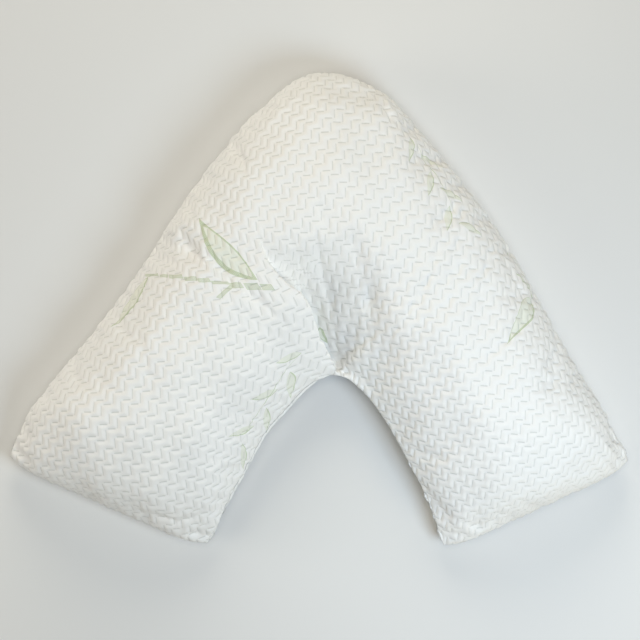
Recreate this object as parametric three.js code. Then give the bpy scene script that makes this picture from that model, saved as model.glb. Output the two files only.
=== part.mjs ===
// A V shaped pillow: a quilted knit cover of two V shaped panels, sewn together round the edge, turned
// and filled.
// Millimetres, +Z up. The pillow lies on its back, its point towards +Y and its two arms running down to -Y.
// The origin is under the middle of its outline box, on the surface that it rests on.
import * as THREE from "three";
import { mergeVertices } from "three/addons/utils/BufferGeometryUtils.js";

// Driving sizes
const STATIONS_PER_ROW = 5; // sections worked out between two rows of the table
const PANEL_STRIPS = 22; // strips across an arm, on each panel
const END_BOW = 7; // how far the seam of an arm's end swells out past a straight line
const END_BOW_POWER = 4; // how soon that swell rises from each corner
const END_BOW_REACH = 120; // how far up the arm that swell fades out
const END_ROUNDING = 135; // length over which an arm's end rises from its seam to full thickness
const SIDE_POWER = 2.1; // how flat the crown stays before it rolls over to the outer seam
const INNER_POWERS = [1.9, 1.8]; // the same towards the inner seam, on the left arm and on the right arm
const LEANS = [-0.06, -0.24]; // how far each arm's crown lies from its middle line, outwards negative
const LEAN_ZONE = 0.4; // share of an arm's length over which the crown comes to lean
const CORNER_PULL = 6; // how far turning the cover inside out rounds off each corner
const CORNER_REACH = 34; // how far from a corner that rounding begins
const ROLL_POWER = 0.6; // how steeply both panels leave the seam
const BELLY_DEPTH = 1.2; // depth of the back panel under its seam, as a share of the seam's height
const REST_HEIGHT = 0; // the surface that the pillow lies on
const WELD_DISTANCE = 0.001; // points of the two panels nearer than this are one point of the seam

// The pillow's sections, from the left arm's end round the point to the right arm's end. Each runs from
// a point on the outer seam to a point on the inner one. crown is the height of its top, and outerSeam
// and innerSeam are the heights of its two seam points.
const COLUMNS = ["outerX", "outerY", "innerX", "innerY", "crown", "outerSeam", "innerSeam"];
const SECTIONS = [
  [-499, -240, -176, -382, 150, 34, 36],
  [-451, -150, -140, -312, 157, 46, 48],
  [-391, -75, -106, -250, 163, 56, 58],
  [-327, 4, -77, -198, 167, 62, 63],
  [-268, 89, -43, -160, 169, 64, 65],
  [-217, 168, -21, -135, 169, 64, 65],
  [-161, 244, -3, -120, 169, 63, 65],
  [-87, 326, 12, -112, 170, 58, 65],
  [0, 378, 21, -108, 172, 52, 65],
  [102, 349, 31, -108, 172, 58, 65],
  [182, 267, 46, -112, 170, 63, 65],
  [242, 191, 64, -126, 170, 64, 65],
  [299, 112, 87, -151, 170, 64, 65],
  [352, 21, 115, -192, 168, 62, 63],
  [402, -70, 144, -245, 164, 56, 58],
  [455, -153, 176, -307, 159, 46, 48],
  [507, -246, 205, -385, 153, 34, 36],
];

// The main folds of the front panel. Each is a soft trough between two points, with its half width and depth.
const FOLD_COLUMNS = ["fromX", "fromY", "toX", "toY", "halfWidth", "depth"];
const FOLDS = [
  [38, -90, 8, -14, 48, 54], // out of the crotch, under the left arm's lip
  [8, -14, -38, 40, 40, 34], // the same fold, fading towards the left shoulder
  [62, -20, 50, 104, 46, 12], // the hollow that rises beside it
  [-252, 92, -172, 66, 34, 14], // the dent in the left arm's outer side
];

const named = (columns, row) => Object.fromEntries(columns.map((name, i) => [name, row[i]]));
const sections = SECTIONS.map((row) => named(COLUMNS, row));
const folds = FOLDS.map((row) => named(FOLD_COLUMNS, row));

const lengthwise = (pick) => new THREE.CatmullRomCurve3(sections.map(pick), false, "catmullrom", 0.5);
const outerEdge = lengthwise((s) => new THREE.Vector3(s.outerX, s.outerY, s.outerSeam));
const innerEdge = lengthwise((s) => new THREE.Vector3(s.innerX, s.innerY, s.innerSeam));
const crownLine = lengthwise((s) => new THREE.Vector3(0, 0, s.crown));

// The roll of a panel from 0 at its seam to 1 where it is flat, for a place from -1 to 1 across it.
function roll(place, power = SIDE_POWER) {
  return Math.pow(1 - Math.pow(Math.min(Math.abs(place), 1), power), ROLL_POWER);
}

// The share of the full thickness across an arm, from -1 at the outer seam to 1 at the inner one. Each arm
// has a crown that leans to its outer side, and its inner side rolls over sooner.
function sideShare(t, across) {
  const wayRound = 2 * t - 1; // from -1 at the left arm's end, past 0 at the point, to 1 at the right one
  const lean = (wayRound < 0 ? LEANS[0] : LEANS[1]) * Math.min(Math.abs(wayRound) / LEAN_ZONE, 1);
  const leaned = across - lean * (1 - across * across);
  const toRight = THREE.MathUtils.clamp(0.5 + wayRound / LEAN_ZONE / 2, 0, 1);
  const innerPower = THREE.MathUtils.lerp(INNER_POWERS[0], INNER_POWERS[1], toRight);
  return roll(leaned, leaned > 0 ? innerPower : SIDE_POWER);
}

// The share of the full thickness that an arm has at this distance from its end.
function endShare(distance) {
  return roll(Math.max(0, 1 - distance / END_ROUNDING));
}

// How far the folds press a point of the front panel down.
function foldDepth(x, y) {
  const place = new THREE.Vector3(x, y, 0);
  const nearest = new THREE.Vector3();
  let depth = 0;
  for (const fold of folds) {
    const line = new THREE.Line3(
      new THREE.Vector3(fold.fromX, fold.fromY, 0),
      new THREE.Vector3(fold.toX, fold.toY, 0),
    );
    line.closestPointToPoint(place, true, nearest);
    const across = nearest.distanceTo(place) / fold.halfWidth;
    depth = Math.max(depth, fold.depth * Math.exp(-across * across));
  }
  return depth;
}

// A point of the outline plan, at share t of the way round the V and share v of the way in from the
// outer seam.
function planPoint(t, v) {
  const outer = outerEdge.getPoint(t);
  const inner = innerEdge.getPoint(t);
  const place = outer.clone().lerp(inner, v);
  const middle = outer.clone().lerp(inner, 0.5);
  const end = t < 0.5 ? 0 : 1;
  const endMiddle = outerEdge.getPoint(end).lerp(innerEdge.getPoint(end), 0.5);
  const toEnd = endMiddle.distanceTo(middle);
  const outwards = endMiddle.clone().sub(outerEdge.getPoint(0.5).lerp(innerEdge.getPoint(0.5), 0.5));
  outwards.setZ(0).normalize();
  const fade = Math.max(0, 1 - toEnd / END_BOW_REACH);
  const bow = END_BOW * (1 - Math.pow(2 * v - 1, END_BOW_POWER)) * fade * fade;
  place.addScaledVector(outwards, bow);
  return { place, toEnd };
}

// The four corners of the two arm ends, each with the way in which it is rounded off.
const corners = [0, 1].flatMap((end) =>
  [outerEdge, innerEdge].map((edge) => {
    const endMiddle = outerEdge.getPoint(end).lerp(innerEdge.getPoint(end), 0.5);
    const point = outerEdge.getPoint(0.5).lerp(innerEdge.getPoint(0.5), 0.5);
    const corner = edge.getPoint(end).setZ(0);
    const inwards = endMiddle.lerp(point, 0.5).setZ(0).sub(corner).normalize();
    return { corner, inwards };
  }),
);

// Rounds off the outline near a corner.
function pullIn(place) {
  for (const { corner, inwards } of corners) {
    const away = Math.hypot(place.x - corner.x, place.y - corner.y);
    const near = 1 - Math.min(away / CORNER_REACH, 1);
    place.addScaledVector(inwards, CORNER_PULL * near * near);
  }
}

const rounds = (SECTIONS.length - 1) * STATIONS_PER_ROW;
const positions = [];
const faces = [];

// Both panels are grids over the same plan, and they share their heights round the edge seam.
function addPanel(isFront) {
  const first = positions.length / 3;
  for (let i = 0; i <= rounds; i++) {
    const t = i / rounds;
    const crown = crownLine.getPoint(t).z;
    for (let j = 0; j <= PANEL_STRIPS; j++) {
      const across = -Math.cos((Math.PI * j) / PANEL_STRIPS);
      const { place, toEnd } = planPoint(t, (across + 1) / 2);
      const share = sideShare(t, across) * endShare(toEnd);
      pullIn(place);
      const seam = place.z;
      if (isFront) {
        place.z = seam + (crown - seam - foldDepth(place.x, place.y)) * share;
      } else {
        place.z = Math.max(REST_HEIGHT, seam * (1 - BELLY_DEPTH * share));
      }
      positions.push(place.x, place.y, place.z);
    }
  }
  const across = PANEL_STRIPS + 1;
  for (let i = 0; i < rounds; i++) {
    for (let j = 0; j < PANEL_STRIPS; j++) {
      const a = first + i * across + j;
      const b = a + 1;
      const c = a + across;
      const d = c + 1;
      // The diagonal of each quad runs out of the nearest corner, so that no corner is left thin.
      const outOfCorner = i < rounds / 2 === j < PANEL_STRIPS / 2;
      const upward = outOfCorner ? [a, b, d, a, d, c] : [a, b, c, b, d, c];
      faces.push(...(isFront ? upward : upward.reverse()));
    }
  }
}

function pillowGeometry() {
  addPanel(true);
  addPanel(false);
  const loose = new THREE.BufferGeometry();
  loose.setAttribute("position", new THREE.Float32BufferAttribute(positions, 3));
  loose.setIndex(faces);
  const closed = mergeVertices(loose, WELD_DISTANCE);
  closed.computeBoundingBox();
  const box = closed.boundingBox;
  closed.translate(-(box.min.x + box.max.x) / 2, -(box.min.y + box.max.y) / 2, -box.min.z);
  closed.computeVertexNormals();
  return closed;
}

const knitCover = new THREE.MeshStandardMaterial({ color: 0xeceee6, roughness: 0.92, metalness: 0 });
const pillow = new THREE.Mesh(pillowGeometry(), knitCover);
pillow.name = "v_pillow";

const vPillow = new THREE.Group();
vPillow.add(pillow);

export default vPillow;
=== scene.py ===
# %% [markdown]
# A V shaped pillow. The real one is sewn from two V shaped panels of white quilted knit, a front and a
# back, joined by one seam round the edge, then turned and filled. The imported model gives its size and
# place, and everything below is made around it, in metres, with +Z up and the point of the V towards +Y.

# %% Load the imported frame
import math

import bmesh
import bpy
import numpy as np
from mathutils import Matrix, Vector


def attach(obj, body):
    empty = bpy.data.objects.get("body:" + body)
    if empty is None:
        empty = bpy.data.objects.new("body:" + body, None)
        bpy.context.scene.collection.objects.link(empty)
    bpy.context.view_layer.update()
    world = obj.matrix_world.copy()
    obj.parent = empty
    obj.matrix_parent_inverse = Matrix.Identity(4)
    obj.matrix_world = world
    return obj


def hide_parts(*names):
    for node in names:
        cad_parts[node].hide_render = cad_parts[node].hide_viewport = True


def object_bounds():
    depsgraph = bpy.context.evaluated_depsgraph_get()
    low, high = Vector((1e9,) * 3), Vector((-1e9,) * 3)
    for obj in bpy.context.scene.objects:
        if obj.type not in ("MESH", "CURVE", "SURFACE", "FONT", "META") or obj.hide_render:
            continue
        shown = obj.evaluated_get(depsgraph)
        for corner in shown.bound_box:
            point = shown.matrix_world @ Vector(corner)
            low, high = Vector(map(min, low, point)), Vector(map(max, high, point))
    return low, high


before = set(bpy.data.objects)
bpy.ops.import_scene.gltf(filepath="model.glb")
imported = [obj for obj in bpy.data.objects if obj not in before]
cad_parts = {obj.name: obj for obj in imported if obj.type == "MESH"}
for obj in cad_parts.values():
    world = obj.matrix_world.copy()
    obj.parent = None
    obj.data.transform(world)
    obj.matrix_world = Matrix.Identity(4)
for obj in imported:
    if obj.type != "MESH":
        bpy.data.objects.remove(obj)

cad_low, cad_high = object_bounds()
print("the pillow's box:", [round(v, 3) for v in cad_high - cad_low])

# %% [markdown]
# The pillow is described as a tailor would measure it: sections across the arm, from the left arm's end
# round the point to the right arm's end. A table with named columns keeps each section on one line, and
# a smooth curve through the rows gives every section between them. It could also be sculpted, but then
# its sizes could not be read or changed.

# %% Sections from the left arm's end to the right arm's end
MM = 0.001
COLUMNS = ("outer_x", "outer_y", "inner_x", "inner_y", "crown", "outer_seam", "inner_seam")
SECTIONS = np.array([
    (-499, -240, -176, -382, 150, 34, 36),
    (-451, -150, -140, -312, 157, 46, 48),
    (-391, -75, -106, -250, 163, 56, 58),
    (-327, 4, -77, -198, 167, 62, 63),
    (-268, 89, -43, -160, 169, 64, 65),
    (-217, 168, -21, -135, 169, 64, 65),
    (-161, 244, -3, -120, 169, 63, 65),
    (-87, 326, 12, -112, 170, 58, 65),
    (0, 378, 21, -108, 172, 52, 65),
    (102, 349, 31, -108, 172, 58, 65),
    (182, 267, 46, -112, 170, 63, 65),
    (242, 191, 64, -126, 170, 64, 65),
    (299, 112, 87, -151, 170, 64, 65),
    (352, 21, 115, -192, 168, 62, 63),
    (402, -70, 144, -245, 164, 56, 58),
    (455, -153, 176, -307, 159, 46, 48),
    (507, -246, 205, -385, 153, 34, 36),
]) * MM
ROUNDS = 170
STRIPS = 46


def smooth_rows(rows, count):
    """Rows between the table's rows, on a smooth curve through them, count steps in all."""
    padded = np.vstack([2 * rows[0] - rows[1], rows, 2 * rows[-1] - rows[-2]])
    place = np.linspace(0, len(rows) - 1, count + 1)
    low = np.minimum(place.astype(int), len(rows) - 2)
    t = (place - low)[:, None]
    a, b, c, d = (padded[low + k] for k in range(4))
    return 0.5 * (2 * b + (c - a) * t + (2 * a - 5 * b + 4 * c - d) * t**2 + (3 * b - a - 3 * c + d) * t**3)


sections = dict(zip(COLUMNS, smooth_rows(SECTIONS, ROUNDS).T))
print(len(SECTIONS), "rows make", ROUNDS + 1, "sections")

# %% [markdown]
# Each panel is a grid: sections one way, strips from the outer seam to the inner seam the other way. Seen
# from above, the seam of an arm's end swells out a little, because the filling pushes it.

# %% The plan of the two panels
END_BOW = 0.007  # how far the seam of an arm's end swells out past a straight line
END_BOW_POWER = 4  # how soon that swell rises from each corner
END_BOW_REACH = 0.12  # how far up the arm that swell fades out

outer = np.stack([sections["outer_x"], sections["outer_y"]], 1)
inner = np.stack([sections["inner_x"], sections["inner_y"]], 1)
middle = (outer + inner) / 2
across = -np.cos(np.pi * np.arange(STRIPS + 1) / STRIPS)
share_in = (across[None, :] + 1) / 2
plan = outer[:, None] * (1 - share_in[..., None]) + inner[:, None] * share_in[..., None]
half = ROUNDS // 2
to_end = np.minimum(
    np.linalg.norm(middle - middle[0], axis=1),
    np.linalg.norm(middle - middle[-1], axis=1),
)
for end, rows in ((0, slice(0, half)), (-1, slice(half, None))):
    outwards = middle[end] - middle[half]
    outwards /= np.linalg.norm(outwards)
    fade = np.maximum(0, 1 - to_end[rows] / END_BOW_REACH) ** 2
    bow = END_BOW * (1 - np.abs(across) ** END_BOW_POWER) * fade[:, None]
    plan[rows] += bow[..., None] * outwards
print("arm's ends, metres:", np.linalg.norm(outer[[0, -1]] - inner[[0, -1]], axis=1).round(3))

# %% [markdown]
# A cover is sewn inside out and then turned, so its corners never come out quite sharp. Each of the four
# corners is drawn in a little towards the middle of its arm, which rounds it off.

# %% Round off the four corners
CORNER_PULL = 0.006  # how far turning the cover rounds off each corner
CORNER_REACH = 0.034  # how far from a corner that rounding begins

for row in (0, -1):
    for column in (0, -1):
        corner = plan[row, column].copy()
        inwards = middle[row] + 0.5 * (middle[half] - middle[row]) - corner
        inwards /= np.linalg.norm(inwards)
        near = 1 - np.minimum(np.linalg.norm(plan - corner, axis=2) / CORNER_REACH, 1)
        plan += (CORNER_PULL * near**2)[..., None] * inwards
low, high = plan.min((0, 1)), plan.max((0, 1))
plan += np.array(cad_low.xy + cad_high.xy) / 2 - (low + high) / 2
print("plan, metres:", (high - low).round(3))

# %% [markdown]
# A filled panel leaves its seam steeply and then levels off, which one curve with two powers gives, and
# the arm ends close the same way. The filling has shifted outwards in both arms, so each crown leans
# away from the middle line of its arm, and the inner sides roll over sooner than the outer ones.

# %% The rise of the two panels
SIDE_POWER = 2.1  # how flat the crown stays before it rolls over to the outer seam
INNER_POWERS = 1.9, 1.8  # the same towards the inner seam, on the left arm and on the right arm
ROLL_POWER = 0.6  # how steeply both panels leave the seam
END_ROUNDING = 0.135  # length over which an arm's end rises from its seam to full thickness
LEFT_LEAN, RIGHT_LEAN = -0.06, -0.24  # how far each arm's crown lies from its middle line, outwards negative
LEAN_ZONE = 0.4  # share of an arm's length over which the crown comes to lean
BELLY_DEPTH = 1.2  # depth of the back panel under its seam, as a share of the seam's height
SLACK = 0.9  # the cover starts this full, and the air pressure below does the rest


def roll(place, power=SIDE_POWER):
    """From 0 at a seam to 1 where the panel is level, for places from -1 to 1."""
    return (1 - np.minimum(np.abs(place), 1) ** power) ** ROLL_POWER


way_round = np.arange(ROUNDS + 1) / half - 1
lean = LEFT_LEAN * np.clip(-way_round / LEAN_ZONE, 0, 1)
lean += RIGHT_LEAN * np.clip(way_round / LEAN_ZONE, 0, 1)
leaned = across[None, :] - lean[:, None] * (1 - across[None, :] ** 2)
to_right = np.clip(0.5 + way_round / LEAN_ZONE / 2, 0, 1)[:, None]
inner_power = INNER_POWERS[0] * (1 - to_right) + INNER_POWERS[1] * to_right
power = np.where(leaned > 0, inner_power, SIDE_POWER)
fullness = roll(leaned, power) * roll(1 - np.minimum(to_end / END_ROUNDING, 1))[:, None]
seam_height = (
    sections["outer_seam"][:, None] * (1 - share_in) + sections["inner_seam"][:, None] * share_in
)
crown = sections["crown"][:, None]
front_height = seam_height + (crown - seam_height) * fullness * SLACK
back_height = seam_height * (1 - BELLY_DEPTH * fullness * SLACK)
print("highest before filling, metres:", front_height.max().round(3))

# %% [markdown]
# The two grids are joined where they share their edge, so the cover is one closed skin from the start.
# The edge points are kept in a group of their own: they are the seam.

# %% Sew the two panels into one closed cover
def sewn_cover(front, back):
    """A closed mesh of two grids of points that share their outer edge, and the grid's vertex numbers."""
    rows, columns = front.shape[:2]
    number = np.arange(rows * columns).reshape(rows, columns)
    edge = np.ones((rows, columns), bool)
    edge[1:-1, 1:-1] = False
    back_number = np.where(edge, number, 0)
    back_number[~edge] = rows * columns + np.arange((~edge).sum())
    points = np.vstack([front.reshape(-1, 3), back[~edge]])

    def quads(n):
        return np.stack([n[:-1, :-1], n[:-1, 1:], n[1:, 1:], n[1:, :-1]], -1).reshape(-1, 4)

    faces = np.vstack([quads(number), quads(back_number)[:, ::-1]])
    mesh = bpy.data.meshes.new("pillow_cover")
    mesh.from_pydata(points.tolist(), [], faces.tolist())
    mesh.validate()
    return mesh, number, back_number, edge


front_points = np.dstack([plan, front_height])
back_points = np.dstack([plan, back_height])
cover_mesh, front_number, back_number, edge_points = sewn_cover(front_points, back_points)
cover = bpy.data.objects.new("pillow_cover", cover_mesh)
bpy.context.scene.collection.objects.link(cover)
seam = cover.vertex_groups.new(name="edge_seam")
seam.add(front_number[edge_points].tolist(), 1.0, "REPLACE")
volume = bmesh.new()
volume.from_mesh(cover_mesh)
print("cover:", len(cover_mesh.polygons), "quads,", round(volume.calc_volume() * 1000, 1), "litres")
volume.free()

# %% [markdown]
# Cloth simulation fills the cover. The seam is pinned, air pressure from inside pushes both panels out,
# and the knit is cut a little too large, so that it puckers by itself where it meets the seam. No point
# may move further than a cap, which keeps the pillow close to its box.

# %% Fill the cover with air pressure
PRESSURE = 4.0
AIR_DAMPING = 2.0
SIM_FRAMES, SIM_QUALITY = 20, 6
MOVE_CAP = 0.026  # furthest that a point may move, in metres
KNIT_SPARE = -0.02  # a negative shrinkage: the knit is cut this much too large
KNIT_WEIGHT = 0.3
STRETCH_STIFFNESS, SHEAR_STIFFNESS, BENDING_STIFFNESS = 18, 6, 1.5


def read_points(mesh):
    points = np.empty(len(mesh.vertices) * 3, np.float32)
    mesh.vertices.foreach_get("co", points)
    return points.reshape(-1, 3).astype(float)


def write_points(mesh, points):
    mesh.vertices.foreach_set("co", points.astype(np.float32).ravel())
    mesh.update()


def filled_by_pressure(piece):
    """Runs the cloth simulation and keeps its last frame, with no point moved past the cap."""
    start = read_points(piece.data)
    cloth = piece.modifiers.new("filling", "CLOTH")
    settings = cloth.settings
    settings.quality = SIM_QUALITY
    settings.mass = KNIT_WEIGHT
    settings.tension_stiffness = settings.compression_stiffness = STRETCH_STIFFNESS
    settings.shear_stiffness = SHEAR_STIFFNESS
    settings.bending_stiffness = BENDING_STIFFNESS
    settings.air_damping = AIR_DAMPING
    settings.shrink_min = KNIT_SPARE
    settings.vertex_group_mass = "edge_seam"
    settings.pin_stiffness = 1.0
    settings.use_pressure = True
    settings.uniform_pressure_force = PRESSURE
    settings.effector_weights.gravity = 0
    cloth.collision_settings.use_collision = False
    scene = bpy.context.scene
    cloth.point_cache.frame_start, cloth.point_cache.frame_end = 1, SIM_FRAMES
    for number in range(1, SIM_FRAMES + 1):
        scene.frame_set(number)
    evaluated = piece.evaluated_get(bpy.context.evaluated_depsgraph_get())
    end = read_points(evaluated.data)
    piece.modifiers.remove(cloth)
    scene.frame_set(1)
    moved = end - start
    length = np.linalg.norm(moved, axis=1, keepdims=True)
    moved *= np.minimum(1, MOVE_CAP / np.maximum(length, 1e-9))
    print("furthest move, millimetres:", round(float(length.max()) * 1000, 1))
    write_points(piece.data, start + moved)


filled_by_pressure(cover)

# %% [markdown]
# The cloth was worked out on a coarse grid, to keep it quick. The folds need a grid twice as fine, and the
# same smooth curve as before gives the points in between, along the arms and then across them. Where the
# filling presses the back down, it lies flat on the surface below.

# %% A grid twice as fine, settled on the surface
FINER = 2


def finer(grid):
    """A grid of points with a smooth step between every two, both ways."""
    for _ in range(2):
        rows, columns = grid.shape[:2]
        flat_rows = smooth_rows(grid.reshape(rows, -1), (rows - 1) * FINER)
        grid = flat_rows.reshape(-1, columns, grid.shape[2]).transpose(1, 0, 2)
    return grid


points = read_points(cover_mesh)
front_points, back_points = finer(points[front_number]), finer(points[back_number])
for grid in (front_points, back_points):
    grid[..., 2] = np.maximum(grid[..., 2], 0.0)
cover_mesh, front_number, back_number, edge_points = sewn_cover(front_points, back_points)
cover.data = cover_mesh
print("height now:", front_points[..., 2].max().round(3), "and", len(cover_mesh.polygons), "quads")

# %% [markdown]
# The folds are placed one by one, because they are what makes this pillow this pillow. The arms were sewn a
# little wider apart than they now lie, so spare knit gathers in the crotch: it makes one sharp lip that
# runs up and to the left, with a valley beside it that rises slowly to the right. The lip leans out over
# the foot of the valley, and a narrow crevice lies under it.

# %% The line of the lip, and its sizes
LIP_LINE = np.array([  # x, y, depth of the valley, width of the valley
    (29, -103, 28, 120),
    (20, -92, 54, 125),
    (6, -68, 68, 130),
    (-5, -49, 72, 132),
    (-18, -6, 70, 132),
    (-32, 19, 66, 128),
    (-52, 33, 50, 110),
    (-77, 60, 15, 80),
    (-97, 107, 3, 50),
    (-105, 131, 0, 40),
]) * MM
LIP_SOFTNESS = 0.004  # how far before its line the lip begins to drop
LIP_RUN_ON = 1.6  # how much further the drop runs on past the line
LIP_SWELL = 0.12  # how high the lip stands, as a share of the valley's depth
LIP_SWELL_WIDTH = 0.022
LIP_OVERHANG = 0.014  # how far the lip's edge leans out over the valley
LIP_UNDERCUT = 0.011  # how far the foot of the fold goes in under it
LIP_EDGE, LIP_FOOT = -0.006, 0.007  # where each is strongest, on either side of the line
LIP_EDGE_WIDTH, LIP_FOOT_WIDTH = 0.014, 0.010
LIP_CREVICE = 0.20  # a narrow crevice beside the foot, as a share of the valley's depth
CREVICE_PLACE, CREVICE_WIDTH = 0.013, 0.012

# %% [markdown]
# Folds, troughs and creases are all lines on the plan, so one helper gives every point its distance from
# such a line and its place along it. Two more give a soft step and a soft bump.

# %% Helpers for shapes that follow a line
def nearest_on_line(points, line):
    """For plan points: signed distance from a bent line, left of it negative, and the place along it."""
    best = np.full(len(points), 1e9)
    signed, place = np.zeros(len(points)), np.zeros(len(points))
    for k in range(len(line) - 1):
        a, b = line[k], line[k + 1]
        along = b - a
        t = np.clip((points - a) @ along / (along @ along), 0, 1)
        away = points - (a + t[:, None] * along)
        distance = np.linalg.norm(away, axis=1)
        side = np.sign(along[1] * away[:, 0] - along[0] * away[:, 1])
        closer = distance < best
        best[closer] = distance[closer]
        signed[closer] = (distance * side)[closer]
        place[closer] = (k + t)[closer]
    return signed, place


def ease(value, low, high):
    """From 0 at low to 1 at high, with soft ends."""
    t = np.clip((value - low) / (high - low), 0, 1)
    return t * t * (3 - 2 * t)


def bell(value, centre, width):
    """A soft bump: 1 at its centre, falling to nothing on both sides."""
    return np.exp(-(((value - centre) / width) ** 2))


# %% [markdown]
# The fold's height is a quick drop across the line and a slow rise beyond it, with a swell before the drop
# and a crevice after it. The lean moves the same points sideways: at the edge out over the valley, and at
# the foot back in under the lip.

# %% The lip and valley that rise out of the crotch
def lip_and_valley(points):
    """Height that the fold adds to plan points, and how far it moves them sideways over the valley."""
    signed, place = nearest_on_line(points, LIP_LINE[:, :2])
    knots = np.arange(len(LIP_LINE))
    depth = np.interp(place, knots, LIP_LINE[:, 2])
    reach = np.interp(place, knots, LIP_LINE[:, 3])
    drop = ease(signed, -LIP_SOFTNESS, LIP_RUN_ON * LIP_SOFTNESS)
    drop *= (1 - np.clip(signed / reach, 0, 1)) ** 2
    swell = bell(signed, -LIP_SWELL_WIDTH, LIP_SWELL_WIDTH) * (signed < LIP_SOFTNESS)
    drop += LIP_CREVICE * bell(signed, CREVICE_PLACE, CREVICE_WIDTH) * (signed > 0)
    along = LIP_LINE[-1, :2] - LIP_LINE[0, :2]
    over_valley = np.array([along[1], -along[0]]) / np.linalg.norm(along)
    lean = LIP_OVERHANG * bell(signed, LIP_EDGE, LIP_EDGE_WIDTH)
    lean -= LIP_UNDERCUT * bell(signed, LIP_FOOT, LIP_FOOT_WIDTH)
    lean *= np.sqrt(depth / LIP_LINE[:, 2].max())
    return depth * (LIP_SWELL * swell - drop), lean[:, None] * over_valley


# %% [markdown]
# The other hollows are plain soft troughs, each a straight line with a half width and a depth. Filling is
# never quite even, so slow waves in four directions give the front low lumps as well.

# %% The plain troughs, and the gentle lumps of the filling
TROUGHS = [  # from x, from y, to x, to y, half width, depth
    (54, 100, 79, 10, 13, 6),  # narrow hollow that rises beside the valley
    (79, 10, 104, -69, 20, 4),  # the same hollow, running down the right arm's inner side
    (-262, 112, -200, 86, 15, 7),  # dent in the left arm's outer side
    (-200, 86, -122, 48, 11, 3),  # the same dent, running in under the large leaf
    (26, 346, 78, 338, 18, 7),  # hollow at the point
    (352, 60, 300, 128, 20, 4),  # hollow behind the pinch on the right arm
    (441, -262, 400, -248, 10, 4),  # dimple near the right arm's outer corner
]
LUMP_SIZE = 0.085
LUMP_DEPTH = 0.0022
LUMP_WAVES = (  # heading in radians, length as a share of LUMP_SIZE, start
    (0.3, 1.0, 0.4),
    (1.4, 1.27, 2.1),
    (2.5, 0.83, 4.4),
    (3.7, 1.61, 1.3),
)


def trough(points, row):
    """Height that one trough adds to plan points, most on its line."""
    from_x, from_y, to_x, to_y, half_width, depth = np.array(row) * MM
    signed, _ = nearest_on_line(points, np.array([(from_x, from_y), (to_x, to_y)]))
    return -depth * np.exp(-((signed / half_width) ** 2))


def filling_lumps(points):
    """Slow waves in four directions that stand for uneven filling."""
    total = np.zeros(len(points))
    for turn, stretch, start in LUMP_WAVES:
        run = points @ np.array([math.cos(turn), math.sin(turn)])
        total += np.sin(2 * math.pi * run / (LUMP_SIZE * stretch) + start)
    return LUMP_DEPTH * total / 2


# %% [markdown]
# Folds, puckers and the seam's own groove all depend on how far a point lies from the seam. The distances
# are measured along the cloth, by adding up the grid's steps, once for each of the outer, inner and end
# seams. Beside each distance goes the length run along that seam.

# %% How far each point lies from the seams
def seam_places(points, numbers):
    """For one panel's grid: distances to the outer, inner and end seams, and lengths run along them."""
    grid = points[numbers]
    down = np.linalg.norm(np.diff(grid, axis=0), axis=2)
    over = np.linalg.norm(np.diff(grid, axis=1), axis=2)
    from_outer = np.pad(np.cumsum(over, 1), ((0, 0), (1, 0)))
    from_start = np.pad(np.cumsum(down, 0), ((1, 0), (0, 0)))
    to_end = np.minimum(from_start, from_start[-1:] - from_start)
    gap = np.dstack([from_outer, from_outer[:, -1:] - from_outer, to_end])
    outer_run = np.broadcast_to(from_start[:, :1], from_start.shape)
    inner_run = np.broadcast_to(from_start[:, -1:], from_start.shape)
    return gap, np.dstack([outer_run, inner_run, from_outer])


points = read_points(cover_mesh)
front = front_number[~edge_points]
seam_gap, seam_run = np.zeros((2, len(points), 3))
every_point = np.ones_like(edge_points)
for numbers, inside in ((back_number, ~edge_points), (front_number, every_point)):
    gap, run = seam_places(points, numbers)
    seam_gap[numbers[inside]], seam_run[numbers[inside]] = gap[inside], run[inside]
print("furthest from a seam, metres:", seam_gap.min(1).max().round(3))

# %% [markdown]
# Now the front is folded. The seam holds the knit in place, so every fold fades out towards it, and the
# sideways lean of the lip fades sooner still.

# %% Fold the front
SEAM_HOLD = 0.028  # folds fade out over this distance from the edge seam

hold = ease(seam_gap.min(1), 0, SEAM_HOLD)
flat_plan = points[front][:, :2]
fold, sideways = lip_and_valley(flat_plan)
rise = fold + filling_lumps(flat_plan)
for row in TROUGHS:
    rise += trough(flat_plan, row)
points[front, 2] += rise * hold[front]
points[front, :2] += sideways * hold[front, None] ** 2
write_points(cover_mesh, points)
print("folds move the front by", (rise.min() * 1000).round(1), "to", (rise.max() * 1000).round(1), "mm")

# %% [markdown]
# On the left arm the inner seam has rolled up a little, so its stitches show on the front, just inside the
# outline. That rise, the distances and the side of the cover are kept on the mesh as named attributes,
# which the nodes further down read.

# %% Keep the distances on the mesh
SEAM_RISE = 0.0055  # how far the inner seam of the left arm has rolled up onto the front
SEAM_SHOWS = (0.02, 0.08, 0.36, 0.44)  # where that begins and ends, as shares of the way round

seam_rise = np.zeros(len(points))
row_share = np.linspace(0, 1, len(front_number))
shown = ease(row_share, *SEAM_SHOWS[:2]) * (1 - ease(row_share, *SEAM_SHOWS[2:]))
seam_rise[front_number[1:-1, 1:-1]] = SEAM_RISE * shown[1:-1, None]
is_front = np.zeros(len(points))
is_front[front], is_front[front_number[edge_points]] = 1, 0.5
for name, kind, field, values in (
    ("seam_gap", "FLOAT_VECTOR", "vector", seam_gap),
    ("seam_run", "FLOAT_VECTOR", "vector", seam_run),
    ("seam_rise", "FLOAT", "value", seam_rise),
    ("is_front", "FLOAT", "value", is_front),
):
    attribute = cover_mesh.attributes.new(name, kind, "POINT")
    attribute.data.foreach_set(field, values.astype(np.float32).ravel())
print("seam shows over", round(float(shown.mean()), 2), "of the inner side")

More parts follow.
